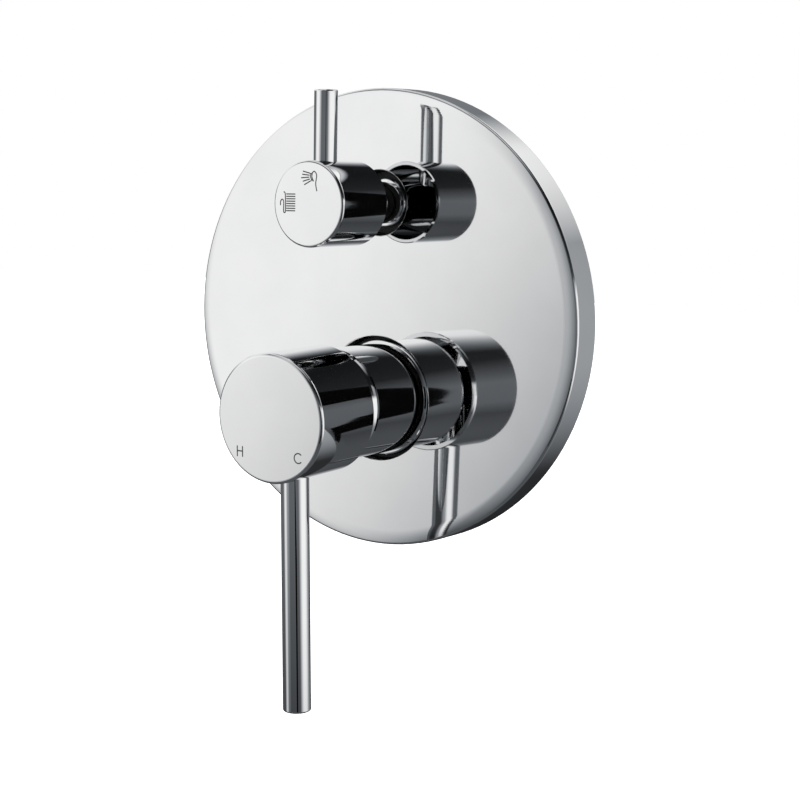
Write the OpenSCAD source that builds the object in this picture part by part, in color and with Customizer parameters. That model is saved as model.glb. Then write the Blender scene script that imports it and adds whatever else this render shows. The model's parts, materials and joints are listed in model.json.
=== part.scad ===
// Concealed single-lever shower mixer with a two-way diverter and one round cover plate.
// Seen from the front, +X is right, +Z is up and +Y runs into the wall.
// The origin is the centre of the four fixing holes, on the back of the steel bracket.

/* [Installation] */
// Depth of the fixing plane behind the finished wall
recess_depth = 60; // [58:1:75]
// Height of the diverter's axis above the plate's centre
diverter_z = 42; // [41:0.5:46]
// Drop of the mixer's axis below the plate's centre
mixer_drop = 29; // [27:0.5:31]

/* [Cover plate] */
// Diameter of the cover plate
plate_d = 166; // [158:1:180]
// Height of the plate's face in front of the finished wall
plate_h = 13; // [12.5:0.5:15]
// Thickness of the plate's sheet
sheet = 1.5; // [1.2:0.1:2]
// Radius of the corner round the plate's edge
edge_roll = 1.1; // [0.9:0.1:1.4]
// Angle by which the face has bent back where it meets that corner
edge_droop = 9; // [4:1:12]
// Radius of the rolled lip round each hole
lip_roll = 3; // [2:0.1:3.5]
// Gap between a sleeve and the lip of its hole
lip_gap = 2.8; // [2:0.1:3.5]

/* [Mixer handle] */
// Diameter of the hub
hub_d = 45; // [44:0.5:48]
// Length of the hub
hub_len = 30; // [28:0.5:34]
// Gap between the plate's face and the back of the hub
hub_gap = 33; // [32:0.5:36]
// Wall of the hub round its hollow
hub_wall = 1.8; // [1.4:0.1:2]
// Diameter of the lever
lever_d = 10; // [8:0.5:12]
// Distance from the hub's axis to the lever's end
lever_reach = 106; // [80:1:130]
// Distance from the back of the hub to the lever's axis
lever_setback = 16; // [15:0.5:18]
// Angle by which the closed lever leans towards the wall
closed_lean = 1.9; // [0:0.1:2.5]

/* [Diverter knob] */
// Diameter of the knob
knob_d = 30; // [29:0.5:32]
// Length of the knob
knob_len = 26; // [24:0.5:30]
// Gap between the plate's face and the back of the knob
knob_gap = 16.6; // [16:0.2:20]
// Wall of the knob round its hollow
knob_wall = 1.3; // [1.1:0.1:1.8]
// Diameter of the knob's lever
knob_lever_d = 8.2; // [7:0.2:9]
// Distance from the knob's axis to its lever's end
knob_lever_reach = 39.2; // [30:0.2:50]
// Distance from the back of the knob to its lever's axis
knob_lever_setback = 16.4; // [15.5:0.1:17.5]

/* [Sleeves] */
// Diameter of the sleeve over the mixer cartridge
mixer_sleeve_d = 40; // [39.5:0.5:41]
// Diameter of the sleeve over the diverter spindle
diverter_sleeve_d = 15.2; // [15:0.1:16]

/* [Pipework] */
// Radius inside each half-inch pipe thread, at its crests
socket_r = 9.3; // [9.2:0.05:9.4]
// Depth of each pipe thread
socket_depth = 14; // [13:0.5:16]
// Distance from the centre line to the mouth of each side socket
side_reach = 43; // [41:0.5:50]
// Height of the top socket's mouth above the plate's centre
top_reach = 71; // [70:0.5:80]
// Half of the distance between the fixing holes, across
fixing_x = 30; // [29:0.5:34]
// Half of the distance between the fixing holes, up and down
fixing_z = 28; // [26:0.5:30]
// Radius of each fixing hole
fixing_r = 2.75; // [2.2:0.05:3.2]

/* [Hidden] */
$fn = 96;
small = 48;
eps = 0.01;
run = 0.08;
arc_steps = 8;

// Heights are measured outward from the finished wall
hub_back = plate_h + hub_gap;
hub_front = hub_back + hub_len;
knob_back = plate_h + knob_gap;
knob_front = knob_back + knob_len;
plate_r = plate_d / 2;
hub_r = hub_d / 2;
knob_r = knob_d / 2;
mixer_sleeve_r = mixer_sleeve_d / 2;
diverter_sleeve_r = diverter_sleeve_d / 2;
diverter_extra_gap = 1.4;
mixer_hole_r = mixer_sleeve_r + lip_gap;
diverter_hole_r = diverter_sleeve_r + lip_gap + diverter_extra_gap;
droop_w = 4.5;
back_edge = 0.5;
lip_depth = 9.5;
lip_wall = 1.5;
gasket_w = 4.9;
gasket_h = 4;

// Seals in the holes, and the bead on each sleeve that covers its seal
seal_drop = 5;
seal_len = 4;
seal_edge = 0.6;
seal_lip = 1;
bead_w = 1.2;
bead_h = 1.6;
mixer_bead_drop = 2.4;
diverter_bead_drop = 3.2;

// Mixer cartridge, stacked outward from the floor of its pocket
pivot_h = hub_back - 12;
ball_drop = 10;
floor_h = pivot_h - 24;
neck_r = 17;
neck_front = floor_h + 22.5;
neck_oring_h = -4;
pocket_r = 13.1;
thread_r = 15;
base_h = 5;
disc_h = 3;
discs_r = 12.2;
moving_r = 9.3;
carrier_w = 14;
housing_ri = 12.3;
housing_ro = 13;
housing_top = neck_front + 0.5;
turret_neck_r = 9.2;
turret_top = pivot_h + 5;
pin_r = 1.5;
stem_w = 8;
stem_tail_r = 2;
ball_r = 2.5;
stem_end = hub_back + 19;
pin_play = 0.05;
tight = 0.02;
port_r = 3;
port_x = 6.2;
port_y = -3.6;
outlet_y = 6.4;
nut_flange_h = 5;
nut_bore_r = 11.2;
nut_hexagon_r = 16.7;
nut_round_r = 16.2;
nut_thread_h = 4;
// Full lift of the lever, and the travel of the ball that it gives
lift = 25;
ball_shift = ball_drop * sin(closed_lean);
slide_rest = (ball_shift + ball_drop * sin(lift - closed_lean)) / 2;

disc_low = floor_h + base_h + disc_h;
carrier_low = disc_low + disc_h;
carrier_high = pivot_h - ball_drop + 1.4;
turret_low = carrier_low + 0.3;
turret_shoulder = neck_front - 4.8;

// Sleeve over the mixer cartridge, with a domed front
sleeve_front = hub_back - 1.5;
sleeve_dome = 5;
sleeve_wall = 1.6;
sleeve_foot = -10;
sleeve_mouth_r = 14.5;

// Hub and its lever
edge_break = 0.3;
hub_edge = 1.2;
hub_cavity_r = hub_r - hub_wall;
hub_face = 4;
hub_boss_r = 8.5;
lever_h = hub_back + lever_setback;
lever_seat = hub_r - 2;
lever_boss_r = 6.4;
screw_r = 3;
screw_len = 7;

// Knob and its lever
knob_edge = 1;
knob_cavity_r = knob_r - knob_wall;
knob_face = 3;
knob_boss_r = 6.4;
knob_lever_h = knob_back + knob_lever_setback;
knob_lever_seat = knob_r - 1.6;
knob_lever_boss_r = 4.4;
knob_screw_r = 2.5;
knob_screw_len = 5;
flat_start = knob_back + 8;

// Diverter headwork
headwork_floor = -30;
headwork_bell = -20;
headwork_hexagon_r = 12.7;
headwork_round_r = 12.2;
socket_h = -38;
barrel_r = 9;
headwork_thread_r = 10.4;
diverter_block_front = -8;
headwork_top = 26;
headwork_tube_r = 6.1;
spindle_r = 3.2;
spindle_end = knob_back + 20;
spindle_flat = 2.2;
spindle_groove = 0.9;
spindle_oring_s = 0.48;
spindle_ring_spots = [2, 6];
sleeve_ring_h = 8;
tang_w = 2.8;
tang_len = 10;
tang_low = headwork_floor + 6;
div_disc_r = 8.2;
div_port_r = 2.4;
div_port_at = 5.4;
div_plate_low = headwork_floor + 1.2;
div_split = headwork_floor + 4;
div_disc_top = headwork_floor + 7.9;

// Castings, and the bracket that carries them
mixer_z = -mixer_drop;
bracket_t = 3;
bracket_margin = 8;
block_back = bracket_t - recess_depth;
mixer_block_r = 21;
mixer_block_front = -20;
diverter_block_r = 15;
socket_ro = 13.5;
socket_corner_r = 14.2;
passage_r = 4.5;
groove_depth = 1.4;
groove_half = 1.1;
oring_s = (groove_depth + 0.4) / 2;
small_oring_s = (groove_depth + run) / 2;
link_oring_s = (groove_depth + run) / 2;
key_share = 0.6;
bracket_low = mixer_z - 7;
bracket_high = diverter_z - 6;
fastener_r = 2;
fastener_len = 11;
countersink = 2;
fastener_spots = [
    [-13, mixer_z + 5], [13, mixer_z + 5],
    [-7, diverter_z - 10.5], [7, diverter_z - 10.5]
];

// Tube that links the castings, from boss face to boss face
link_r = 7.5;
link_boss_r = 11;
link_h = -24;
link_seat = 7;
link_hexagon_r = 10;
link_hexagon_h = 8;
link_low = mixer_z + mixer_block_r + 3;
link_high = diverter_z - diverter_block_r - 3;
link_len = link_high - link_low;
link_rings = [-link_seat / 2, link_len + link_seat / 2];

// Points on an arc about [x, y], from angle a to angle b
function arc(x, y, r, a, b, n = arc_steps) =
    [for (i = [0:n]) let (t = a + (b - a) * i / n) [x + r * cos(t), y + r * sin(t)]];

// Local frames: x right, y up and z outward from the finished wall
module from_wall() translate([0, -recess_depth, 0]) rotate([90, 0, 0]) children();
module on_mixer() from_wall() translate([0, mixer_z, 0]) children();
module on_diverter() from_wall() translate([0, diverter_z, 0]) children();
// The stem, hub and lever lean together about the pivot pin
module leaning() on_mixer() translate([0, 0, pivot_h]) rotate([closed_lean, 0, 0])
    translate([0, 0, -pivot_h]) children();

// A ring between two radii and two heights
module ring(ro, ri, low, high, fn = $fn) {
    translate([0, 0, low]) difference() {
        cylinder(r = ro, h = high - low, $fn = fn);
        translate([0, 0, -1]) cylinder(r = ri, h = high - low + 2, $fn = fn);
    }
}

module disc(r, low, high, fn = $fn) {
    translate([0, 0, low]) cylinder(r = r, h = high - low, $fn = fn);
}

// A round bar along -y or +y, from one distance to another
module bar_down(r, from, to, h, fn = small) {
    translate([0, -from, h]) rotate([90, 0, 0]) cylinder(r = r, h = to - from, $fn = fn);
}

module bar_up(r, from, to, h, fn = small) {
    translate([0, from, h]) rotate([-90, 0, 0]) cylinder(r = r, h = to - from, $fn = fn);
}

// A round bar along +x or -x
module bar_side(r, from, to, y, h, side = 1, fn = small) {
    translate([side * from, y, h]) rotate([0, side * 90, 0]) cylinder(r = r, h = to - from, $fn = fn);
}

// An O-ring of section radius s about the local z axis
module o_ring(mean_r, s, h) {
    translate([0, 0, h]) rotate_extrude($fn = small) translate([mean_r, 0]) circle(r = s, $fn = 24);
}

// A turned bar with both ends softened by a small radius
module soft_bar(r, len, soft) {
    rotate_extrude($fn = small)
        polygon(concat(
            [[0, 0], [r, 0]],
            arc(r - soft, len - soft, soft, 0, 90, 5),
            [[0, len]]
        ));
}

// Cutter that opens a hole and rolls its front edge over
module lip_cutter(r) {
    bottom = -plate_h;
    translate([0, 0, plate_h]) rotate_extrude()
        polygon(concat(
            [[0, 1], [0, bottom], [r, bottom]],
            arc(r + lip_roll, -lip_roll, lip_roll, 180, 90),
            [[r + lip_roll, 1]]
        ));
}

module lip_collar(r) disc(r + lip_wall, plate_h - lip_depth, plate_h - eps);

// Half section of the dish: a flat face, a band that bends back, a tight corner and a rim
module plate_section() {
    droop_r = droop_w / sin(edge_droop);
    bend = 90 - edge_droop;
    corner_x = plate_r - edge_roll;
    droop_x = corner_x - (droop_r - edge_roll) * cos(bend);
    corner_y = plate_h - droop_r + (droop_r - edge_roll) * sin(bend);
    inside_x = plate_r - sheet;
    inside_end = acos((inside_x - droop_x) / (droop_r - sheet));
    polygon(concat(
        [[0, plate_h - sheet]],
        arc(droop_x, plate_h - droop_r, droop_r - sheet, 90, inside_end),
        [[inside_x, 0]],
        arc(plate_r - back_edge, back_edge, back_edge, -90, 0, 4),
        arc(corner_x, corner_y, edge_roll, 0, bend),
        arc(droop_x, plate_h - droop_r, droop_r, bend + edge_droop / arc_steps, 90, arc_steps - 1),
        [[0, plate_h]]
    ));
}

// Round dish, open at the back, with two flanged holes
module cover_plate() color("silver") {
    difference() {
        union() {
            from_wall() rotate_extrude($fn = 180) plate_section();
            on_mixer() lip_collar(mixer_hole_r);
            on_diverter() lip_collar(diverter_hole_r);
        }
        on_mixer() lip_cutter(mixer_hole_r);
        on_diverter() lip_cutter(diverter_hole_r);
    }
}

// Foam ring that seals the plate's rim to the wall
module wall_gasket() color("dimgray") {
    outside = plate_r - sheet - run;
    from_wall() ring(outside, outside - gasket_w, 0, gasket_h);
}

// Rubber ring with a thin wiping lip, pressed into a hole's collar
module hole_seal(hole_r, sleeve_r) {
    high = plate_h - seal_drop;
    low = high - seal_len;
    lip_r = sleeve_r + seal_lip;
    rotate_extrude()
        polygon([
            [hole_r, low], [hole_r, high - seal_edge], [hole_r - seal_edge, high],
            [lip_r, high], [sleeve_r, high - seal_lip], [sleeve_r, low + seal_lip], [lip_r, low]
        ]);
}

module mixer_hole_seal() color("black") on_mixer() hole_seal(mixer_hole_r, mixer_sleeve_r);

module diverter_hole_seal() color("black") on_diverter() hole_seal(diverter_hole_r, diverter_sleeve_r);

// Female pipe socket with spanner flats, its axis along local z and its mouth at z = 0
module socket_outside(len) {
    intersection() {
        translate([0, 0, -len]) cylinder(r = socket_corner_r, h = len, $fn = 8);
        translate([0, 0, -len]) cylinder(r = socket_ro, h = len);
    }
}

// Threaded mouth, stepping down to a drilled waterway
module socket_inside(len) {
    step = 3;
    translate([0, 0, -socket_depth]) cylinder(r = socket_r, h = socket_depth + 1, $fn = small);
    translate([0, 0, -socket_depth - step])
        cylinder(r1 = passage_r, r2 = socket_r, h = step + eps, $fn = small);
    translate([0, 0, -len]) cylinder(r = passage_r, h = len - socket_depth, $fn = small);
}

module at_inlet(side)
    translate([side * side_reach, mixer_z, socket_h]) rotate([0, side * 90, 0]) children();
module at_side_outlet() translate([-side_reach, diverter_z, socket_h]) rotate([0, -90, 0]) children();
module at_top_outlet() translate([0, top_reach, socket_h]) rotate([-90, 0, 0]) children();
// The ports to the top outlet and to the side outlet
module at_outlet_ports() {
    translate([0, div_port_at, 0]) children();
    translate([-div_port_at, 0, 0]) children();
}

// Along the link tube, upward from the face of the lower boss
module at_link() translate([0, link_low, link_h]) rotate([-90, 0, 0]) children();

// A flat plate with round corners, between two heights
module rounded_plate(half_x, bottom, top, corner, low, high) {
    translate([-half_x + corner, bottom, low]) cube([2 * (half_x - corner), top - bottom, high - low]);
    translate([-half_x, bottom + corner, low]) cube([2 * half_x, top - bottom - 2 * corner, high - low]);
    for (x = [corner - half_x, half_x - corner], y = [bottom + corner, top - corner])
        translate([x, y, 0]) disc(corner, low, high, small);
}

// One countersunk screw from the back of the bracket, grown by a clearance
module fastener(clear) {
    head_r = fastener_r + countersink;
    translate([0, 0, -recess_depth])
        cylinder(r1 = head_r + clear, r2 = fastener_r + clear, h = countersink, $fn = small);
    disc(fastener_r + clear, -recess_depth, -recess_depth + fastener_len + clear, small);
}

module at_fasteners() for (spot = fastener_spots) translate([spot[0], spot[1], 0]) children();

// Steel plate that carries both castings, with a fixing hole at each corner
module mounting_bracket() color("lightgray") from_wall() difference() {
    rounded_plate(fixing_x + bracket_margin, bracket_low, bracket_high, bracket_margin,
        -recess_depth, block_back);
    for (x = [-fixing_x, fixing_x], y = [-fixing_z, fixing_z])
        translate([x, y, 0]) disc(fixing_r, -recess_depth - 1, block_back + 1, small);
    at_fasteners() fastener(0.05);
}

module bracket_screws() color("gray") from_wall() at_fasteners() difference() {
    fastener(0);
    translate([0, 0, -recess_depth - 1]) cylinder(r = fastener_r * key_share, h = 2.4, $fn = 6);
}

// Brass casting with the cartridge's chamber, two inlets and a boss for the link tube
module mixer_body() color("goldenrod") difference() {
    from_wall() difference() {
        union() {
            translate([0, mixer_z, 0]) {
                disc(mixer_block_r, block_back, mixer_block_front);
                translate([0, 0, mixer_block_front - eps])
                    cylinder(r1 = mixer_block_r, r2 = neck_r, h = 6);
                disc(neck_r, mixer_block_front - 1, neck_front);
            }
            for (side = [-1, 1]) at_inlet(side) socket_outside(side_reach - 12);
            at_link() disc(link_boss_r, -link_boss_r, 0, small);
        }
        translate([0, mixer_z, 0]) {
            disc(pocket_r, floor_h, neck_front + 1);
            disc(thread_r, neck_front - nut_thread_h, neck_front + 1);
            for (side = [-1, 1])
                translate([side * port_x, port_y, 0]) disc(port_r, socket_h - 3, floor_h + 1, small);
            translate([0, outlet_y, 0]) disc(port_r + 0.6, link_h - 3, floor_h + 1, small);
        }
        for (side = [-1, 1]) at_inlet(side) socket_inside(side_reach - port_x);
        // Mixed water leaves upward through the link tube
        at_link() disc(link_r + run, -link_seat, 1, small);
        bar_up(passage_r, mixer_z + outlet_y - 2, link_low, link_h);
        at_fasteners() fastener(0.02);
    }
    on_mixer() oring_groove(neck_r, neck_oring_h);
}

// Brass casting with the diverter's chamber and the two outlets
module diverter_body() color("goldenrod") from_wall() difference() {
    union() {
        translate([0, diverter_z, 0]) disc(diverter_block_r, block_back, diverter_block_front);
        at_side_outlet() socket_outside(side_reach - 8);
        at_top_outlet() socket_outside(top_reach - diverter_z - 8);
        at_link() disc(link_boss_r, link_len, link_len + 10, small);
    }
    translate([0, diverter_z, 0]) {
        disc(barrel_r + 0.6, headwork_floor, diverter_block_front + 1);
        disc(headwork_thread_r, -20, diverter_block_front + 1);
        at_outlet_ports() disc(div_port_r, socket_h - 2, headwork_floor + 1, small);
    }
    at_link() disc(link_r + run, link_len - 1, link_len + link_seat, small);
    bar_up(passage_r, link_high, diverter_z, link_h);
    at_side_outlet() socket_inside(side_reach - div_port_at);
    at_top_outlet() socket_inside(top_reach - diverter_z - div_port_at);
    at_fasteners() fastener(0.02);
}

// Turned brass tube, sealed in both castings, with a hexagon for the spanner
module link_tube() color("darkgoldenrod") from_wall() at_link() difference() {
    union() {
        disc(link_r, 0.1 - link_seat, link_len + link_seat - 0.1, small);
        translate([0, 0, (link_len - link_hexagon_h) / 2])
            cylinder(r = link_hexagon_r, h = link_hexagon_h, $fn = 6);
    }
    disc(passage_r, -link_seat - 1, link_len + link_seat + 1, small);
    for (h = link_rings) oring_groove(link_r, h);
}

module link_orings() color("black") from_wall() at_link()
    for (h = link_rings) o_ring(link_r - groove_depth + link_oring_s, link_oring_s, h);

// Square groove for an O-ring, cut into the outside of a tube
module oring_groove(r, h) ring(r + 1, r - groove_depth, h - groove_half, h + groove_half);

module mixer_sleeve_oring() color("black") on_mixer()
    o_ring(neck_r - groove_depth + oring_s, oring_s, neck_oring_h);

// A rounded bead of height bead_h round a sleeve, with its top at height top
module sleeve_bead(r, top) {
    soft = bead_h / 2;
    rotate_extrude()
        polygon(concat(
            [[r - soft, top - bead_h]],
            arc(r + bead_w - soft, top - soft, soft, -90, 90),
            [[r - soft, top]]
        ));
}

// Tube over the cartridge, with a domed front that turns in, and a bead in the plate's hole
module mixer_sleeve() color("silver") on_mixer() {
    inside_r = mixer_sleeve_r - sleeve_wall;
    dome_low = sleeve_front - sleeve_dome;
    guide_r = neck_r + 0.4;
    union() {
        rotate_extrude()
            polygon(concat(
                [[guide_r, sleeve_foot], [mixer_sleeve_r, sleeve_foot]],
                arc(mixer_sleeve_r - sleeve_dome, dome_low, sleeve_dome, 0, 90),
                [[sleeve_mouth_r, sleeve_front], [sleeve_mouth_r, sleeve_front - sleeve_wall]],
                arc(mixer_sleeve_r - sleeve_dome, dome_low, sleeve_dome - sleeve_wall, 90, 0),
                [[inside_r, 16], [guide_r, 14]]
            ));
        sleeve_bead(mixer_sleeve_r, plate_h - mixer_bead_drop);
    }
}

// Threaded ring that holds the cartridge down, with a hexagon for the spanner
module ring_nut() color("darkgoldenrod") on_mixer() difference() {
    union() {
        disc(thread_r, neck_front - nut_thread_h + 1, neck_front + 1);
        intersection() {
            translate([0, 0, neck_front]) cylinder(r = nut_hexagon_r, h = nut_flange_h, $fn = 6);
            disc(nut_round_r, neck_front, neck_front + nut_flange_h);
        }
    }
    disc(nut_bore_r, neck_front - nut_thread_h, neck_front + nut_flange_h + 1);
}

// Plastic cap of the cartridge, keyed to the base by its skirt
module cartridge_housing() color("whitesmoke") on_mixer() difference() {
    union() {
        disc(housing_ro, floor_h + 2, neck_front - 3);
        disc(11.1, neck_front - 4, housing_top);
    }
    disc(housing_ri, floor_h + 1, neck_front - 4.5);
    disc(10.2, neck_front - 5, neck_front - 2);
    disc(turret_neck_r + run, neck_front - 3, housing_top + 1);
}

// Places the two inlet ports and the outlet port
module at_ports() {
    for (side = [-1, 1]) translate([side * port_x, port_y, 0]) children();
    translate([0, outlet_y, 0]) children();
}

module cartridge_base() color("white") on_mixer() difference() {
    union() {
        disc(housing_ro, floor_h, floor_h + 2);
        disc(housing_ri - 0.05, floor_h + 2 - eps, floor_h + base_h);
    }
    at_ports() {
        disc(port_r - 0.4, floor_h - 1, floor_h + base_h + 1, small);
        disc(port_r + 1, floor_h - 1, floor_h + 1.6, small);
    }
}

module cartridge_seals() color("black") on_mixer()
    at_ports() ring(port_r + 0.95, port_r - 0.3, floor_h, floor_h + 1.6, small);

module fixed_disc() color("gainsboro") on_mixer() difference() {
    disc(discs_r, floor_h + base_h, floor_h + base_h + disc_h);
    at_ports() disc(port_r - 0.5, floor_h, floor_h + 12, small);
}

// Everything that slides with the stem's ball
module sliding() on_mixer() translate([0, slide_rest, 0]) children();

module moving_disc() color("lightgray") sliding() difference() {
    disc(moving_r, disc_low + 0.02, carrier_low, small);
    // Mixing hollow that joins the inlets to the outlet
    translate([0, -1, 0]) disc(5, disc_low - 1, disc_low + 1.8, small);
    translate([0, 3, 0]) disc(4, disc_low - 1, disc_low + 1.8, small);
}

module disc_carrier() color("cornflowerblue") difference() {
    sliding() intersection() {
        disc(moving_r, carrier_low, carrier_high, small);
        translate([-carrier_w / 2, -moving_r, carrier_low]) cube([carrier_w, 2 * moving_r, 10]);
    }
    on_mixer() translate([0, ball_shift, 0]) disc(ball_r + 0.1, carrier_low + 0.3, carrier_high + 1, small);
}

// Rotor of the cartridge: a guide for the carrier below, a slotted neck above
module cartridge_turret() color("steelblue") on_mixer() difference() {
    union() {
        disc(housing_ri - run, turret_low, turret_shoulder);
        disc(turret_neck_r, turret_shoulder - 1, turret_top);
    }
    translate([-carrier_w / 2 - run, -20, turret_low - 1])
        cube([carrier_w + 2 * run, 40, carrier_high + 0.3 - turret_low + 1]);
    // Swing of the square stem above the pin and of its round tail below it
    slot_w = stem_w + 0.3;
    translate([-slot_w / 2, -4.5, pivot_h - 1]) cube([slot_w, 11.7, 10]);
    translate([-slot_w / 2, -7.6, pivot_h - ball_drop - 3]) cube([slot_w, 12.2, ball_drop + 3.4]);
    bar_side(pin_r, -20, 20, 0, pivot_h);
}

module pivot_pin() color("gray") on_mixer()
    bar_side(pin_r, 0.2 - turret_neck_r, turret_neck_r - 0.2, 0, pivot_h);

// Square stem on a pin, with a round tail and a ball that drives the disc
module mixer_stem() color("gray") leaning() difference() {
    union() {
        translate([-stem_w / 2, -stem_w / 2, pivot_h - 4]) cube([stem_w, stem_w, stem_end - pivot_h + 4]);
        disc(stem_tail_r, pivot_h - ball_drop, pivot_h - 3, small);
        translate([0, 0, pivot_h - ball_drop]) sphere(r = ball_r, $fn = small);
    }
    bar_side(pin_r + pin_play, -20, 20, 0, pivot_h);
}

// Hollow hub: a cup with a boss for the stem and a cross boss for the lever
module mixer_hub() color("silver") leaning() difference() {
    union() {
        difference() {
            rotate_extrude()
                polygon(concat(
                    [[0, hub_back], [hub_r - edge_break, hub_back], [hub_r, hub_back + edge_break]],
                    arc(hub_r - hub_edge, hub_front - hub_edge, hub_edge, 0, 90, 6),
                    [[0, hub_front]]
                ));
            disc(hub_cavity_r, hub_back - 1, hub_front - hub_face);
        }
        disc(hub_boss_r, hub_back + 3, hub_front - 1, small);
        bar_down(lever_boss_r, 0, hub_r - 1, lever_h);
    }
    square_w = stem_w + 2 * tight;
    translate([-square_w / 2, -square_w / 2, hub_back - 1])
        cube([square_w, square_w, stem_end - hub_back + 1.5]);
    bar_down(screw_r, 0, hub_r + 1, lever_h);
    bar_down(lever_d / 2 + pin_play, lever_seat, hub_r + 1, lever_h);
}

module mixer_lever() color("silver") leaning() {
    translate([0, -lever_seat, lever_h]) rotate([90, 0, 0])
        soft_bar(lever_d / 2, lever_reach - lever_seat, 0.7);
    bar_down(screw_r - tight, lever_seat - screw_len, lever_seat + 0.5, lever_h);
}

// Hexagon socket screw that clamps a stem
module grub(r, from, to, h, up) {
    mirror([0, up ? 1 : 0, 0]) difference() {
        bar_down(r, from, to, h);
        translate([0, -to - 1, h]) rotate([-90, 0, 0]) cylinder(r = r * key_share, h = 4, $fn = 6);
    }
}

module hub_grub_screw() color("dimgray") leaning()
    grub(screw_r - tight, stem_w / 2 + 0.03, stem_w / 2 + screw_len + 1, lever_h, false);

// Slim tube over the diverter's spindle, with a collar at its foot and a bead in the plate's hole
module diverter_sleeve() color("silver") on_diverter() difference() {
    len = knob_back + 6;
    union() {
        soft_bar(diverter_sleeve_r, len, 0.6);
        disc(diverter_sleeve_r + bead_w, 1, plate_h - seal_drop - seal_len - 0.1, small);
        sleeve_bead(diverter_sleeve_r, plate_h - diverter_bead_drop);
    }
    disc(headwork_tube_r + run, -1, len + 1, small);
}

module diverter_sleeve_oring() color("black") on_diverter()
    o_ring(headwork_tube_r - groove_depth + small_oring_s, small_oring_s, sleeve_ring_h);

// Brass headwork: barrel with side windows, thread, hexagon and spindle tube
module diverter_headwork() color("darkgoldenrod") on_diverter() difference() {
    union() {
        disc(barrel_r, headwork_floor + 1.5, headwork_bell + 2);
        disc(headwork_thread_r - tight, headwork_bell + 1, diverter_block_front + 1.1);
        intersection() {
            translate([0, 0, diverter_block_front + 1.5]) cylinder(r = headwork_hexagon_r, h = 6, $fn = 6);
            disc(headwork_round_r, diverter_block_front, diverter_block_front + 8);
        }
        disc(11, diverter_block_front + 1, diverter_block_front + 2);
        disc(headwork_tube_r, -2, headwork_top, small);
    }
    disc(div_disc_r + 0.1, headwork_floor - 1, headwork_bell);
    disc(spindle_r + run, headwork_bell - 1, headwork_top + 1, small);
    // Windows that let the mixed water in round the discs
    window = 6;
    for (turn = [0:90:270]) rotate([0, 0, turn + 45])
        translate([4, -window / 2, headwork_floor + 5]) cube([8, window, window]);
    ring(headwork_tube_r + 1, headwork_tube_r - groove_depth, sleeve_ring_h - 1, sleeve_ring_h + 1);
}

module headwork_seal() color("black") on_diverter()
    ring(11.8, headwork_thread_r + 0.05, diverter_block_front, diverter_block_front + 1);

// Spindle with a tang below, ring grooves and a flat-sided end for the knob
module diverter_spindle() color("gray") on_diverter() difference() {
    union() {
        disc(spindle_r, headwork_floor + 8, spindle_end, small);
        disc(7.6, headwork_floor + 8, headwork_bell - 0.2, small);
        translate([-tang_w / 2, -tang_len / 2, tang_low]) cube([tang_w, tang_len, 3]);
    }
    for (h = spindle_ring_spots)
        ring(spindle_r + 1, spindle_r - spindle_groove, h - 0.8, h + 0.8, small);
    ring(spindle_r + 1, spindle_r - 0.6, headwork_top + 0.1, headwork_top + 1, small);
    translate([-5, spindle_flat, flat_start]) cube([10, 5, 30]);
}

module spindle_orings() color("black") on_diverter()
    for (h = spindle_ring_spots)
        o_ring(spindle_r - spindle_groove + spindle_oring_s, spindle_oring_s, h);

// Open ring that stops the spindle from pulling out
module spindle_circlip() color("dimgray") on_diverter() difference() {
    mouth = 2.8;
    ring(5, spindle_r - 0.55, headwork_top + 0.15, headwork_top + 0.95, small);
    translate([-mouth / 2, -6, headwork_top - 1]) cube([mouth, 6, 3]);
}

module diverter_moving_disc() color("lightgray") on_diverter() difference() {
    play = 0.05;
    disc(div_disc_r, div_split + tight, div_disc_top, small);
    translate([-tang_w / 2 - play, -tang_len / 2 - play, tang_low - 0.1])
        cube([tang_w + 2 * play, tang_len + 2 * play, 4]);
    // Notch that uncovers one port at a time
    translate([-div_port_at - 3.4, 0, 0]) disc(6, div_split - 1, div_disc_top + 1, small);
}

module diverter_fixed_disc() color("gainsboro") on_diverter() difference() {
    disc(div_disc_r, div_plate_low, div_split, small);
    at_outlet_ports() disc(div_port_r - 0.3, headwork_floor, div_split + 1, small);
}

module diverter_port_seals() color("black") on_diverter()
    at_outlet_ports() ring(div_port_r + 0.9, div_port_r - 0.2, headwork_floor, div_plate_low, small);

// Hollow knob: a thin cup with a boss on the spindle and a cross boss for the lever
module diverter_knob() color("silver") on_diverter() difference() {
    union() {
        difference() {
            rotate_extrude()
                polygon(concat(
                    [[0, knob_back], [knob_r - edge_break, knob_back], [knob_r, knob_back + edge_break]],
                    arc(knob_r - knob_edge, knob_front - knob_edge, knob_edge, 0, 90, 6),
                    [[0, knob_front]]
                ));
            disc(knob_cavity_r, knob_back - 1, knob_front - knob_face);
        }
        disc(knob_boss_r, knob_back + 9, knob_front - 1, small);
        bar_up(knob_lever_boss_r, 0, knob_r - 0.7, knob_lever_h);
    }
    difference() {
        disc(spindle_r + tight, knob_back - 1, spindle_end + 0.5, small);
        translate([-5, spindle_flat + pin_play, flat_start + 1]) cube([10, 5, 30]);
    }
    bar_up(knob_screw_r, 0, knob_r + 1, knob_lever_h, small);
    bar_up(knob_lever_d / 2 + pin_play, knob_lever_seat, knob_r + 1, knob_lever_h);
}

module diverter_lever() color("silver") on_diverter() {
    translate([0, knob_lever_seat, knob_lever_h]) rotate([-90, 0, 0])
        soft_bar(knob_lever_d / 2, knob_lever_reach - knob_lever_seat, 0.6);
    bar_up(knob_screw_r - tight, knob_lever_seat - knob_screw_len, knob_lever_seat + 0.5, knob_lever_h);
}

module knob_grub_screw() color("dimgray") on_diverter()
    grub(knob_screw_r - tight, spindle_flat + 0.03, spindle_flat + knob_screw_len, knob_lever_h, true);

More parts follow.
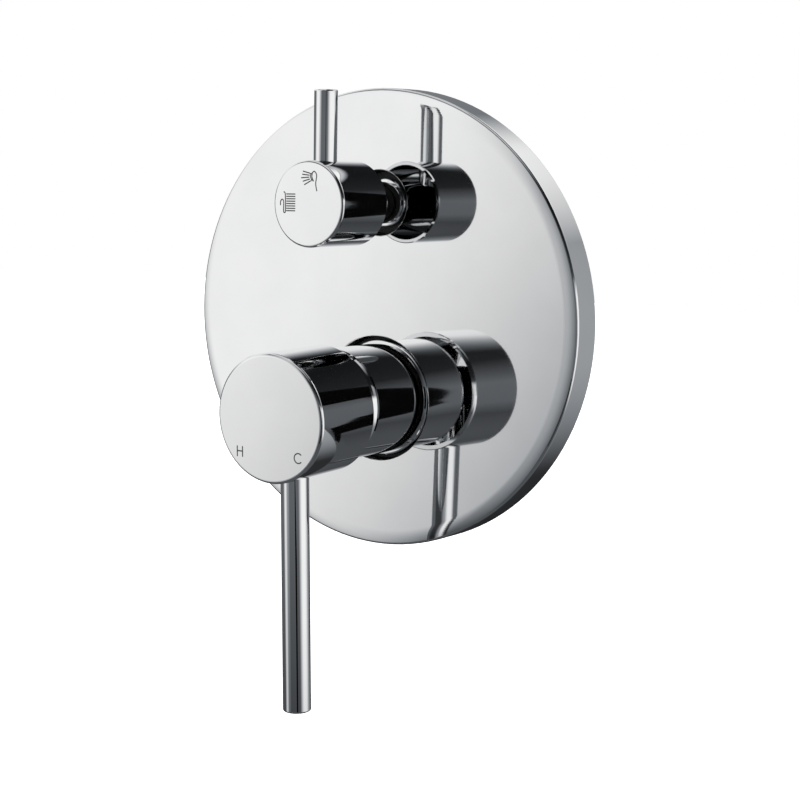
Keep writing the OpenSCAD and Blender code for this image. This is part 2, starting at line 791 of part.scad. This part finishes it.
cover_plate();
wall_gasket();
mixer_hole_seal();
diverter_hole_seal();
mounting_bracket();
bracket_screws();
mixer_body();
diverter_body();
link_tube();
link_orings();
mixer_sleeve();
mixer_sleeve_oring();
ring_nut();
cartridge_housing();
cartridge_base();
cartridge_seals();
fixed_disc();
moving_disc();
disc_carrier();
cartridge_turret();
pivot_pin();
mixer_stem();
mixer_hub();
mixer_lever();
hub_grub_screw();
diverter_sleeve();
diverter_sleeve_oring();
diverter_headwork();
headwork_seal();
diverter_spindle();
spindle_orings();
spindle_circlip();
diverter_moving_disc();
diverter_fixed_disc();
diverter_port_seals();
diverter_knob();
diverter_lever();
knob_grub_screw();
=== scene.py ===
import json
import math
import bpy
from mathutils import Matrix, Vector


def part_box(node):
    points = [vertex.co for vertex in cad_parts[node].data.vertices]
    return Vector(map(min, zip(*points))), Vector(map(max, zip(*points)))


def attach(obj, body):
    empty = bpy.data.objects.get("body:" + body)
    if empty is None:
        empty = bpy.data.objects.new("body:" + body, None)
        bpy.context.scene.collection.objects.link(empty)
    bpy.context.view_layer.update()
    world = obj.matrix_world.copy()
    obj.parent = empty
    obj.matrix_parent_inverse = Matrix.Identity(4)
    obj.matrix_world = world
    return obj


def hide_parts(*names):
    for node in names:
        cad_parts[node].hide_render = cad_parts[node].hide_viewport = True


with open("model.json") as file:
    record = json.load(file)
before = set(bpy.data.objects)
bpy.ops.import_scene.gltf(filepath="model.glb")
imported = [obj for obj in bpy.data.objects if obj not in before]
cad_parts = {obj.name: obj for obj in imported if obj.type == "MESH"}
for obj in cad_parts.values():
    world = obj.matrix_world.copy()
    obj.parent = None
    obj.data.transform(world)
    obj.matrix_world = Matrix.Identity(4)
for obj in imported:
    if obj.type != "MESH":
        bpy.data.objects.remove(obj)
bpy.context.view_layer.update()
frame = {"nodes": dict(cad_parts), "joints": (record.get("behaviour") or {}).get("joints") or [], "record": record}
NODES = frame["nodes"]
MM = 0.001  # Millimetres are the unit of the marks, threads and lips

# Places read from the frame, in metres
PLATE_FACE_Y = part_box("cover_plate")[0][1]
JOINTS = {joint["name"]: joint for joint in frame["joints"]}
PIVOT = Vector(JOINTS["flow_lift"]["pos_m"])
KNOB_Z = JOINTS["diverter_turn"]["pos_m"][2]


# Shader helpers
def new_material(name):
    material = bpy.data.materials.new(name)
    material.use_nodes = True
    return material, material.node_tree, material.node_tree.nodes["Principled BSDF"]


def add_node(tree, kind, **values):
    node = tree.nodes.new(kind)
    for key, value in values.items():
        if key in node.inputs:
            node.inputs[key].default_value = value
        else:
            setattr(node, key, value)
    return node


def place_noise(tree, scale, detail=4.0, stretch=(1, 1, 1), kind="ShaderNodeTexNoise"):
    """Noise in object space, in cycles per metre."""
    coords = add_node(tree, "ShaderNodeTexCoord")
    mapping = add_node(tree, "ShaderNodeMapping")
    mapping.inputs["Scale"].default_value = stretch
    noise = add_node(tree, kind, Scale=scale)
    if "Detail" in noise.inputs:
        noise.inputs["Detail"].default_value = detail
    tree.links.new(coords.outputs["Object"], mapping.inputs["Vector"])
    tree.links.new(mapping.outputs["Vector"], noise.inputs["Vector"])
    return noise


def ramp(tree, source, stops):
    node = add_node(tree, "ShaderNodeValToRGB")
    elements = node.color_ramp.elements
    while len(elements) < len(stops):
        elements.new(0.5)
    for element, (position, color) in zip(elements, stops):
        element.position = position
        element.color = color if len(color) == 4 else (*color, 1)
    tree.links.new(source, node.inputs["Fac"])
    return node


def add_tint(tree, shader, source, dark, light, span=(0.3, 0.7)):
    """Base colour that goes from dark to light over the span of the source."""
    tint = ramp(tree, source, [(span[0], dark), (span[1], light)])
    tree.links.new(tint.outputs["Color"], shader.inputs["Base Color"])


def add_bump(tree, shader, height, strength, distance):
    bump = add_node(tree, "ShaderNodeBump", Strength=strength, Distance=distance)
    tree.links.new(height, bump.inputs["Height"])
    tree.links.new(bump.outputs["Normal"], shader.inputs["Normal"])


def vary_roughness(tree, shader, source, low, high):
    spread = add_node(tree, "ShaderNodeMapRange")
    spread.inputs["To Min"].default_value = low
    spread.inputs["To Max"].default_value = high
    tree.links.new(source, spread.inputs["Value"])
    tree.links.new(spread.outputs["Result"], shader.inputs["Roughness"])


def grey(level):
    return (level, level, level)


def new_metal(name):
    material, tree, shader = new_material(name)
    shader.inputs["Metallic"].default_value = 1.0
    return material, tree, shader


def chrome():
    """Bright plating: a trace of cloudiness in the polish and very fine hairlines."""
    material, tree, shader = new_metal("polished_chrome")
    cloud = place_noise(tree, 60, detail=3)
    add_tint(tree, shader, cloud.outputs["Fac"], (0.86, 0.865, 0.87), (0.89, 0.893, 0.897))
    hairline = place_noise(tree, 900, detail=6, stretch=(1, 1, 0.08))
    vary_roughness(tree, shader, hairline.outputs["Fac"], 0.015, 0.05)
    return material


def cast_brass():
    """Sand-cast skin: grainy bump and warm stains."""
    material, tree, shader = new_metal("cast_brass")
    stain = place_noise(tree, 45, detail=6)
    add_tint(tree, shader, stain.outputs["Fac"], (0.52, 0.36, 0.14), (0.74, 0.56, 0.26))
    grain = place_noise(tree, 1400, detail=5)
    vary_roughness(tree, shader, stain.outputs["Fac"], 0.36, 0.55)
    add_bump(tree, shader, grain.outputs["Fac"], strength=0.6, distance=0.0003)
    return material


def turned_brass():
    """Machined brass with fine lathe rings round the Y axis."""
    material, tree, shader = new_metal("turned_brass")
    stain = place_noise(tree, 60, detail=4)
    add_tint(tree, shader, stain.outputs["Fac"], (0.66, 0.49, 0.21), (0.8, 0.63, 0.32))
    rings = place_noise(tree, 2200, detail=2, stretch=(0.02, 1, 0.02))
    vary_roughness(tree, shader, rings.outputs["Fac"], 0.18, 0.34)
    add_bump(tree, shader, rings.outputs["Fac"], strength=0.25, distance=0.00005)
    return material


def satin_steel():
    """Zinc-plated steel: brushed grain and a faint crystalline bloom."""
    material, tree, shader = new_metal("satin_steel")
    bloom = place_noise(tree, 120, detail=2, kind="ShaderNodeTexVoronoi")
    dark, light = (0.55, 0.56, 0.57), (0.66, 0.67, 0.68)
    add_tint(tree, shader, bloom.outputs["Distance"], dark, light, span=(0.0, 0.8))
    brush = place_noise(tree, 1600, detail=4, stretch=(0.03, 1, 1))
    vary_roughness(tree, shader, brush.outputs["Fac"], 0.24, 0.42)
    add_bump(tree, shader, brush.outputs["Fac"], strength=0.2, distance=0.00005)
    return material


def soft_material(name, dark, light, scale, roughness, bump, kind="ShaderNodeTexNoise"):
    """A non-metal with two close tones, a fine surface grain and varied gloss."""
    material, tree, shader = new_material(name)
    tone = place_noise(tree, scale * 0.1, detail=4)
    add_tint(tree, shader, tone.outputs["Fac"], dark, light)
    grain = place_noise(tree, scale, detail=4, kind=kind)
    output = "Distance" if kind == "ShaderNodeTexVoronoi" else "Fac"
    vary_roughness(tree, shader, grain.outputs[output], roughness * 0.85, roughness)
    add_bump(tree, shader, grain.outputs[output], bump, distance=0.0002)
    return material


def mark_material():
    """Dark matt etching in the chrome."""
    material, tree, shader = new_material("etched_mark")
    tone = place_noise(tree, 3000, detail=3)
    add_tint(tree, shader, tone.outputs["Fac"], grey(0.045), grey(0.075))
    vary_roughness(tree, shader, tone.outputs["Fac"], 0.45, 0.6)
    return material


CHROME = chrome()
CAST = cast_brass()
TURNED = turned_brass()
STEEL = satin_steel()
RUBBER = soft_material(
    "black_rubber", grey(0.006), grey(0.012), scale=900, roughness=0.6, bump=0.08,
)
FOAM = soft_material(
    "closed_foam", grey(0.035), grey(0.07), scale=1500, roughness=0.95, bump=1.0,
    kind="ShaderNodeTexVoronoi",
)
CERAMIC = soft_material(
    "lapped_ceramic", (0.84, 0.84, 0.81), (0.9, 0.9, 0.88), scale=4000, roughness=0.22, bump=0.05,
)
WHITE_PLASTIC = soft_material(
    "white_plastic", (0.78, 0.78, 0.76), (0.84, 0.84, 0.82), scale=3000, roughness=0.45, bump=0.15,
)
BLUE_PLASTIC = soft_material(
    "blue_plastic", (0.08, 0.2, 0.42), (0.11, 0.25, 0.5), scale=3000, roughness=0.42, bump=0.15,
)
MARK = mark_material()

# Material of each slot in the record, and the brass nodes that are turned and not cast
FINISH = {
    "chrome": CHROME,
    "brass": CAST,
    "steel": STEEL,
    "rubber": RUBBER,
    "foam": FOAM,
    "ceramic": CERAMIC,
    "white_plastic": WHITE_PLASTIC,
    "blue_plastic": BLUE_PLASTIC,
}
MACHINED = ("ring_nut", "diverter_headwork", "link_tube")


def finish_nodes():
    """Gives every CAD node the procedural material of its slot."""
    for part in frame["record"]["subparts"]:
        node = part["node"]
        material = TURNED if node in MACHINED else FINISH[part["material_slot"]]
        mesh = NODES[node].data
        mesh.materials.clear()
        mesh.materials.append(material)


# Lips of the plate's holes: radius of the solid's roll, the share of it that the photograph
# shows, and how far a vertex of the roll may lie from it, in mm
LIP_ROLL = 3.0
LIP_SHARE = 0.12
LIP_TOLERANCE = 0.03


def add_fine_plate():
    """A copy of the plate with the lips of its two holes rolled tighter, and the same normals."""
    mesh = NODES["cover_plate"].data.copy()
    normals = [corner.vector.copy() for corner in mesh.corner_normals]
    for seal in ("mixer_hole_seal", "diverter_hole_seal"):
        low, high = (Vector(corner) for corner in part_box(seal))
        centre = (low + high) / 2
        hole_r = (high.x - low.x) / 2
        for vertex in mesh.vertices:
            out = Vector((vertex.co.x - centre.x, 0, vertex.co.z - centre.z))
            reach = (out.length - hole_r) / MM
            depth = (vertex.co.y - PLATE_FACE_Y) / MM
            from_roll = abs(math.hypot(reach - LIP_ROLL, depth - LIP_ROLL) - LIP_ROLL)
            if from_roll < LIP_TOLERANCE and max(reach, depth) < LIP_ROLL + LIP_TOLERANCE:
                out *= (hole_r + reach * LIP_SHARE * MM) / out.length
                behind_face = depth * LIP_SHARE * MM
                vertex.co = (centre.x + out.x, PLATE_FACE_Y + behind_face, centre.z + out.z)
    mesh.normals_split_custom_set(normals)
    plate = bpy.data.objects.new("plate_with_fine_lips", mesh)
    bpy.context.scene.collection.objects.link(plate)
    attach(plate, "fixed")
    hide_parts("cover_plate")


# Marks, inlaid as thin strokes in a front face: u is right and v is up, in mm
INLAY_TOP = 0.02
INLAY_BOTTOM = -0.05
CAP_STEPS = 6
LETTER_STROKE = 0.46
PICTOGRAM_STROKE = 0.42


def curve(centre, radius, start, end, steps=20):
    """An arc, from start to end in degrees."""
    u, v = centre
    angles = [math.radians(start + (end - start) * k / steps) for k in range(steps + 1)]
    return [(u + radius * math.cos(a), v + radius * math.sin(a)) for a in angles]


def smooth(points, steps=5):
    """A smooth line through the points."""
    line = []
    last = len(points) - 1
    for k in range(last):
        nearby = (min(max(k + j, 0), last) for j in (-1, 0, 1, 2))
        before, here, there, after = (Vector(points[near]) for near in nearby)
        for t in (step / steps for step in range(steps)):
            bend = (2 * before - 5 * here + 4 * there - after) * t ** 2
            swing = (3 * here - before - 3 * there + after) * t ** 3
            line.append(here + ((there - before) * t + bend + swing) / 2)
    return line + [Vector(points[last])]


def shifted(strokes, du, dv):
    return [[(u + du, v + dv) for u, v in points] for points in strokes]


def half_circle(centre, first):
    """Points strictly between first and its opposite, counter-clockwise about the centre."""
    arm = first - centre
    turns = [Matrix.Rotation(math.pi * k / CAP_STEPS, 2) for k in range(1, CAP_STEPS)]
    return [centre + turn @ arm for turn in turns]


def stroke(points, width):
    """Outline of one stroke with round ends, counter-clockwise, and the faces that fill it."""
    line = [Vector(point) for point in points]
    count = len(line)
    right = []
    left = []
    for k, here in enumerate(line):
        along = (line[min(k + 1, count - 1)] - line[max(k - 1, 0)]).normalized()
        side = Vector((along.y, -along.x)) * width / 2
        right.append(here + side)
        left.append(here - side)
    ring = right + half_circle(line[-1], right[-1]) + left[::-1] + half_circle(line[0], left[0])
    far = count + CAP_STEPS - 1
    fill = [(k, k + 1, far + count - 2 - k, far + count - 1 - k) for k in range(count - 1)]
    fill.append(tuple(range(count - 1, far + 1)))
    fill.append((*range(far + count - 1, len(ring)), 0))
    return ring, fill


def add_piece(name, corners, faces, material, body):
    """A mesh piece that rides on a body."""
    mesh = bpy.data.meshes.new(name)
    mesh.from_pydata(corners, [], faces)
    mesh.materials.append(material)
    piece = bpy.data.objects.new(name, mesh)
    bpy.context.scene.collection.objects.link(piece)
    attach(piece, body)


def add_mark(name, strokes, width, to_world, body):
    """One inlaid piece: a closed thin slab for each stroke, in the plane that to_world gives."""
    corners = []
    faces = []
    for points in strokes:
        ring, fill = stroke(points, width)
        top = len(corners)
        size = len(ring)
        for height in (INLAY_TOP, INLAY_BOTTOM):
            corners += [to_world @ (Vector((u, v, height)) * MM) for u, v in ring]
        for face in fill:
            faces.append([top + k for k in face])
            faces.append([top + size + k for k in reversed(face)])
        for k in range(size):
            after = (k + 1) % size
            faces.append([top + k, top + size + k, top + size + after, top + after])
    add_piece(name, corners, faces, MARK, body)


# Local frames of the front faces. The closed handle leans about its pivot pin, and its front
# leans with it
CLOSED_LEAN = math.radians(1.9)
FRONT_FROM_PIVOT = 42
UPRIGHT = Matrix(((1, 0, 0, 0), (0, 0, -1, 0), (0, 1, 0, 0), (0, 0, 0, 1)))
LEANING = Matrix.Rotation(CLOSED_LEAN, 4, "X") @ Matrix.Translation((0, 0, FRONT_FROM_PIVOT * MM))
HUB_PLANE = Matrix.Translation(PIVOT) @ UPRIGHT @ LEANING
KNOB_PLANE = Matrix.Translation((0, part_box("diverter_knob")[0][1], KNOB_Z)) @ UPRIGHT

LETTER_H = [
    [(-1.15, -1.7), (-1.15, 1.7)],
    [(1.15, -1.7), (1.15, 1.7)],
    [(-1.15, 0.1), (1.15, 0.1)],
]
LETTER_C = [curve((0.2, 0), 1.7, 48, 312)]
HAND_SHOWER = [
    [(0.75, 10.5), (-2.2, 11.15)],
    [(0.35, 9.85), (-2.45, 10.1)],
    [(0.25, 9.15), (-2.9, 8.9)],
    [(0.5, 8.5), (-2.2, 7.75)],
    [(1.0, 7.9), (-1.6, 6.6)],
    smooth([(1.1, 10.35), (0.95, 9.4), (1.6, 8.0)]),
    smooth([(1.65, 10.3), (1.55, 9.3), (2.2, 7.9)]),
    smooth([(1.4, 10.3), (2.5, 11.2), (3.55, 9.9), (3.2, 7.0), (3.7, 4.6)]),
]
WATER_LINES = 8
WATER_STEP = 0.82
OVERHEAD_SHOWER = [
    [(-9.25, 3.2 - WATER_STEP * k), (-5.65, 3.25 - WATER_STEP * k)]
    for k in range(WATER_LINES)
]
OVERHEAD_SHOWER.append(smooth([
    (-10.45, 3.9), (-9.9, 3.3), (-9.75, 0.5), (-9.75, -2.7), (-10.15, -3.2), (-10.55, -2.7),
    (-10.55, 0.5), (-11.2, 1.35), (-11.9, 0.6), (-11.9, -0.6),
]))

HOT_PLACE = (-12.9, -12.3)
COLD_PLACE = (12.1, -12.3)

add_mark("hot_letter", shifted(LETTER_H, *HOT_PLACE), LETTER_STROKE, HUB_PLANE, "handle")
add_mark("cold_letter", shifted(LETTER_C, *COLD_PLACE), LETTER_STROKE, HUB_PLANE, "handle")
add_mark("hand_shower_mark", HAND_SHOWER, PICTOGRAM_STROKE, KNOB_PLANE, "diverter")
add_mark("overhead_shower_mark", OVERHEAD_SHOWER, PICTOGRAM_STROKE, KNOB_PLANE, "diverter")


# Pipe threads: a ridge wound in each threaded hole that the record lists, in mm. Root and crest
# are measured outward from the hole's wall
THREAD_PITCH = 1.814
THREAD_ROOT = 0.05
THREAD_CREST = -0.4
THREAD_HALF_WIDTH = 0.5
# Pitches of the hole's length that the thread leaves bare
THREAD_BARE = 1.5
# Steps in one turn, and steps over which the ridge fades at each end
THREAD_STEPS = 48
THREAD_FADE = 16


def add_thread(hole):
    """One closed right-handed ridge, which fades in and out at its ends."""
    length = hole["dims"]["length_mm"] - THREAD_BARE * THREAD_PITCH
    steps = round(length / THREAD_PITCH * THREAD_STEPS)
    along_axis = Vector(hole["axis"]).to_track_quat("Z", "Y").to_matrix().to_4x4()
    to_world = Matrix.Translation(hole["pos_m"]) @ along_axis
    corners = []
    faces = [(2, 1, 0)]
    for k in range(steps + 1):
        turn = 2 * math.pi * k / THREAD_STEPS
        height = THREAD_PITCH * k / THREAD_STEPS - length / 2
        crest = THREAD_CREST * min(1, k / THREAD_FADE, (steps - k) / THREAD_FADE)
        for reach, rise in (
            (THREAD_ROOT, -THREAD_HALF_WIDTH),
            (crest, 0),
            (THREAD_ROOT, THREAD_HALF_WIDTH),
        ):
            radius = hole["dims"]["r_mm"] + reach
            place = Vector((radius * math.cos(turn), radius * math.sin(turn), height + rise))
            corners.append(to_world @ (place * MM))
    for first in range(0, 3 * steps, 3):
        for side in range(3):
            after = (side + 1) % 3
            faces.append((first + side, first + after, first + 3 + after, first + 3 + side))
    last = 3 * steps
    faces.append((last, last + 1, last + 2))
    add_piece(hole["name"] + "_thread", corners, faces, TURNED, "fixed")


for mount in frame["record"]["mounts"]:
    if mount["kind"] == "threaded_hole":
        add_thread(mount)

finish_nodes()
add_fine_plate()

# The camera, fitted to the outlines in the photograph
SENSOR = 36.0
CLIP_START = 0.01
PHOTO_SIZE = 800
FOCAL_PIXELS = 1955.15
YAW = math.radians(34.41)
PITCH = math.radians(7.16)
ROLL = math.radians(1.03)
CAMERA_FROM_FACE = Vector((407.67, -579.79, 59.46)) * MM


def add_camera():
    data = bpy.data.cameras.new("camera")
    data.sensor_width = SENSOR
    data.lens = FOCAL_PIXELS / PHOTO_SIZE * SENSOR
    data.clip_start = CLIP_START
    camera = bpy.data.objects.new("camera", data)
    forward = Vector((
        -math.sin(YAW) * math.cos(PITCH),
        math.cos(YAW) * math.cos(PITCH),
        -math.sin(PITCH),
    ))
    level_right = Vector((math.cos(YAW), math.sin(YAW), 0))
    level_up = level_right.cross(forward)
    right = level_right * math.cos(ROLL) + level_up * math.sin(ROLL)
    up = level_up * math.cos(ROLL) - level_right * math.sin(ROLL)
    place = Vector((0, PLATE_FACE_Y, 0)) + CAMERA_FROM_FACE
    camera.matrix_world = Matrix((
        (right.x, up.x, -forward.x, place.x),
        (right.y, up.y, -forward.y, place.y),
        (right.z, up.z, -forward.z, place.z),
        (0, 0, 0, 1),
    ))
    bpy.context.scene.collection.objects.link(camera)
    bpy.context.scene.camera = camera


add_camera()


# Studio: a white surround for the camera, and a tent whose tones show in the metal
TENT_R = 1.1
TENT_SEGMENTS = 96
TENT_RINGS = 48
# Keeps the arcsine of a height on the tent within its range
ARCSINE_MARGIN = 1.0001
FLOOR_Z = -1.25
FLOOR_SIZE = 30
FLOOR_TONE = 0.9
FLOOR_ROUGHNESS = 0.9
STAND_TONE = 0.002
# Light of the white surround on matt surfaces
SURROUND_ON_MATT = 0.7

# Lamps: place and diameter in metres, and power in watts
LAMPS = {
    "key": ((-0.7, -0.8, 0.9), 0.7, 9),
    "fill": ((0.9, -0.4, 0.5), 0.8, 4),
    "back": ((0.3, 0.9, 0.6), 0.8, 5),
}

# Soft boxes on the tent, in degrees. Azimuth 0 is straight in front of the plate and grows to its
# right, and elevation grows upward. Each row has the azimuth of the box, how far to its left it
# starts and is full, how far to its right it stays full and ends, the elevations where it starts
# and is full from below, and where it is full and ends above, and its tone
SOFT_BOXES = {
    "front_left": (-50, (-32, 0), (11, 47), (-103, -39), (18, 36), 0.95),
    "front": (-30, (-20, -10), (8, 34), (-40, 4), (16, 36), 0.52),
    "right": (100, (-57, -14), (16, 60), (-42, -18), (8, 18), 0.98),
    "overhead": (-60, (-120, -90), (85, 125), (40, 54), (90, 91), 0.64),
    "left": (-105, (-45, -30), (35, 55), (0, 22), (45, 65), 0.85),
    "behind": (160, (-50, -25), (18, 50), (5, 40), (60, 80), 0.98),
    "right_low": (130, (-35, -15), (15, 55), (-75, -10), (30, 50), 0.36),
    "back_left": (-155, (-22, -8), (12, 24), (0, 9), (34, 50), 0.2),
}
# The sides of these boxes lean: degrees narrower for each degree below the horizon, and degrees
# wider for each degree above it
NARROWER_BELOW = 0.6
WIDER_ABOVE = 0.5
LEANING_LEFT = ("front_left", "right")
LEANING_RIGHT = ("front_left",)
# The dark room behind on the left, in the terms of a soft box. Its tone is the share that it
# takes from the bare tent
DARK_ROOM = (-150, (-45, -30), (20, 35), (-91, -90), (20, 40), 0.68)
# Tone of the bare tent by elevation
BARE_TONES = [
    (-90, 0.09), (-36, 0.085), (-26, 0.06), (-16, 0.13), (4, 0.14), (12, 0.09), (24, 0.02),
    (40, 0.01), (90, 0.01),
]
# Colour of the tent up to the first tone, which fades to white at the second
COOL_TINT = (0.935, 0.995, 1.07)
TINT_SPAN = (0.1, 0.7)

# Outline of the photographer's dark stand, seen from the plate: metres right of the camera, height
STAND = [
    (-0.012, 0.5), (-0.012, -0.12), (-0.03, -0.17), (-0.03, -0.25), (-0.01, -0.32), (0, -0.6),
    (0.135, -0.6), (0.135, -0.26), (0.045, -0.2), (0.045, 0.12), (0.13, 0.16), (0.13, 0.5),
]


def math_node(tree, operation, *values):
    """A maths node whose inputs are numbers or sockets."""
    node = add_node(tree, "ShaderNodeMath", operation=operation)
    for socket, value in zip(node.inputs, values):
        if isinstance(value, (int, float)):
            socket.default_value = value
        else:
            tree.links.new(value, socket)
    return node.outputs[0]


def soft_step(tree, value, start, end):
    """0 up to start and 1 from end on, or the other way round where end is the lower."""
    step = add_node(tree, "ShaderNodeMapRange", interpolation_type="SMOOTHSTEP")
    step.inputs["From Min"].default_value = min(start, end)
    step.inputs["From Max"].default_value = max(start, end)
    step.inputs["To Min"].default_value = 0.0 if start < end else 1.0
    step.inputs["To Max"].default_value = 1.0 if start < end else 0.0
    tree.links.new(value, step.inputs["Value"])
    return step.outputs["Result"]


def add_emission(tree):
    return add_node(tree, "ShaderNodeEmission", Color=(1, 1, 1, 1), Strength=1.0)


def only_reflected(piece):
    """Hides a piece of the studio from every ray but a reflected one."""
    piece.visible_camera = False
    piece.visible_diffuse = False
    piece.visible_shadow = False
    piece.visible_transmission = False
    piece.visible_volume_scatter = False


def add_world():
    """White to the camera and in reflections, and dimmer on matt surfaces."""
    world = bpy.data.worlds.new("studio")
    world.use_nodes = True
    bpy.context.scene.world = world
    tree = world.node_tree
    background = tree.nodes["Background"]
    background.inputs["Color"].default_value = (1, 1, 1, 1)
    rays = add_node(tree, "ShaderNodeLightPath").outputs
    clear = math_node(tree, "MAXIMUM", rays["Is Camera Ray"], rays["Is Glossy Ray"])
    clear = math_node(tree, "MAXIMUM", clear, rays["Is Transmission Ray"])
    level = add_node(tree, "ShaderNodeMapRange")
    level.inputs["To Min"].default_value = SURROUND_ON_MATT
    level.inputs["To Max"].default_value = 1.0
    tree.links.new(clear, level.inputs["Value"])
    tree.links.new(level.outputs["Result"], background.inputs["Strength"])


def tent_angles(tree):
    """Azimuth and elevation of the tent's surface from its centre, in degrees."""
    coords = add_node(tree, "ShaderNodeTexCoord")
    parts = add_node(tree, "ShaderNodeSeparateXYZ")
    tree.links.new(coords.outputs["Object"], parts.inputs["Vector"])
    ahead = math_node(tree, "MULTIPLY", parts.outputs["Y"], -1)
    around = math_node(tree, "ARCTAN2", parts.outputs["X"], ahead)
    height = math_node(tree, "DIVIDE", parts.outputs["Z"], TENT_R * ARCSINE_MARGIN)
    rise = math_node(tree, "ARCSINE", height)
    return math_node(tree, "DEGREES", around), math_node(tree, "DEGREES", rise)


def box_tone(tree, angles, box, from_left=0.0, from_right=0.0):
    """Tone of one soft box, which may be narrower by some degrees on either side."""
    azimuth, elevation = angles
    centre, left, right, rise, fall, bright = box
    offset = math_node(tree, "WRAP", math_node(tree, "SUBTRACT", azimuth, centre), 180, -180)
    left_side = math_node(tree, "SUBTRACT", offset, from_left)
    right_side = math_node(tree, "ADD", offset, from_right)
    share = soft_step(tree, left_side, *left)
    for value, start, end in (
        (right_side, *reversed(right)),
        (elevation, *rise),
        (elevation, *reversed(fall)),
    ):
        share = math_node(tree, "MULTIPLY", share, soft_step(tree, value, start, end))
    return math_node(tree, "MULTIPLY", share, bright)


def tent_tone(tree):
    """The bare tent, darker in the dark room, with the soft boxes on it."""
    angles = tent_angles(tree)
    elevation = angles[1]
    share_up = math_node(tree, "MULTIPLY_ADD", elevation, 1 / 180, 0.5)
    stops = [((angle + 90) / 180, grey(bright)) for angle, bright in BARE_TONES]
    bare = ramp(tree, share_up, stops).outputs["Color"]
    left_bare = math_node(tree, "SUBTRACT", 1.0, box_tone(tree, angles, DARK_ROOM))
    tone = math_node(tree, "MULTIPLY", bare, left_bare)
    below = math_node(tree, "MULTIPLY", elevation, -NARROWER_BELOW)
    above = math_node(tree, "MULTIPLY", elevation, -WIDER_ABOVE)
    lean = math_node(tree, "MAXIMUM", below, above)
    for name, soft_box in SOFT_BOXES.items():
        leans = [lean if name in leaning else 0.0 for leaning in (LEANING_LEFT, LEANING_RIGHT)]
        tone = math_node(tree, "MAXIMUM", box_tone(tree, angles, soft_box, *leans), tone)
    return tone


def add_tent():
    """A round tent with soft boxes on it, seen only by reflections."""
    bpy.ops.mesh.primitive_uv_sphere_add(
        segments=TENT_SEGMENTS,
        ring_count=TENT_RINGS,
        radius=TENT_R,
        location=(0, PLATE_FACE_Y, 0),
    )
    tent = bpy.context.object
    tent.name = "studio_tent"
    only_reflected(tent)
    material, tree, shader = new_material("tent_cloth")
    tree.nodes.remove(shader)
    tone = tent_tone(tree)
    tint = ramp(tree, tone, [(TINT_SPAN[0], COOL_TINT), (TINT_SPAN[1], grey(1.0))])
    glow = add_emission(tree)
    tree.links.new(tint.outputs["Color"], glow.inputs["Color"])
    tree.links.new(tone, glow.inputs["Strength"])
    tree.links.new(glow.outputs["Emission"], tree.nodes["Material Output"].inputs["Surface"])
    tent.data.materials.append(material)


def add_stand():
    """The dark stand just right of the camera, wider above and below, seen only by reflections."""
    place = bpy.context.scene.camera.matrix_world.translation
    across = Vector((math.cos(YAW), math.sin(YAW), 0))
    corners = [place + side * across + Vector((0, 0, height - place.z)) for side, height in STAND]
    mesh = bpy.data.meshes.new("camera_stand")
    mesh.from_pydata(corners, [], [range(len(corners))])
    stand = bpy.data.objects.new("camera_stand", mesh)
    bpy.context.scene.collection.objects.link(stand)
    material, _, shader = new_material("stand_black")
    shader.inputs["Base Color"].default_value = (*grey(STAND_TONE), 1)
    shader.inputs["Specular IOR Level"].default_value = 0.0
    stand.data.materials.append(material)
    only_reflected(stand)


def add_floor():
    """A pale floor that glows white to the camera alone and keeps the shadow."""
    bpy.ops.mesh.primitive_plane_add(size=FLOOR_SIZE, location=(0, 0, FLOOR_Z))
    floor = bpy.context.object
    floor.name = "floor"
    material, tree, shader = new_material("pale_floor")
    shader.inputs["Base Color"].default_value = (*grey(FLOOR_TONE), 1)
    shader.inputs["Roughness"].default_value = FLOOR_ROUGHNESS
    glow = add_emission(tree)
    rays = add_node(tree, "ShaderNodeLightPath")
    both = add_node(tree, "ShaderNodeAddShader")
    only_seen = add_node(tree, "ShaderNodeMixShader")
    tree.links.new(shader.outputs["BSDF"], both.inputs[0])
    tree.links.new(glow.outputs["Emission"], both.inputs[1])
    tree.links.new(rays.outputs["Is Camera Ray"], only_seen.inputs["Fac"])
    tree.links.new(shader.outputs["BSDF"], only_seen.inputs[1])
    tree.links.new(both.outputs["Shader"], only_seen.inputs[2])
    tree.links.new(only_seen.outputs["Shader"], tree.nodes["Material Output"].inputs["Surface"])
    floor.data.materials.append(material)


def add_lamp(name, place, size, power):
    """A round lamp that is aimed at the origin and leaves no highlight."""
    data = bpy.data.lights.new(name, "AREA")
    data.shape = "DISK"
    data.size = size
    data.energy = power
    lamp = bpy.data.objects.new(name, data)
    lamp.location = place
    lamp.rotation_euler = (-Vector(place)).to_track_quat("-Z", "Y").to_euler()
    lamp.visible_glossy = False
    bpy.context.scene.collection.objects.link(lamp)


add_world()
add_tent()
add_stand()
add_floor()
for lamp_name, lamp_values in LAMPS.items():
    add_lamp(lamp_name, *lamp_values)

bpy.context.scene.view_settings.view_transform = "Standard"
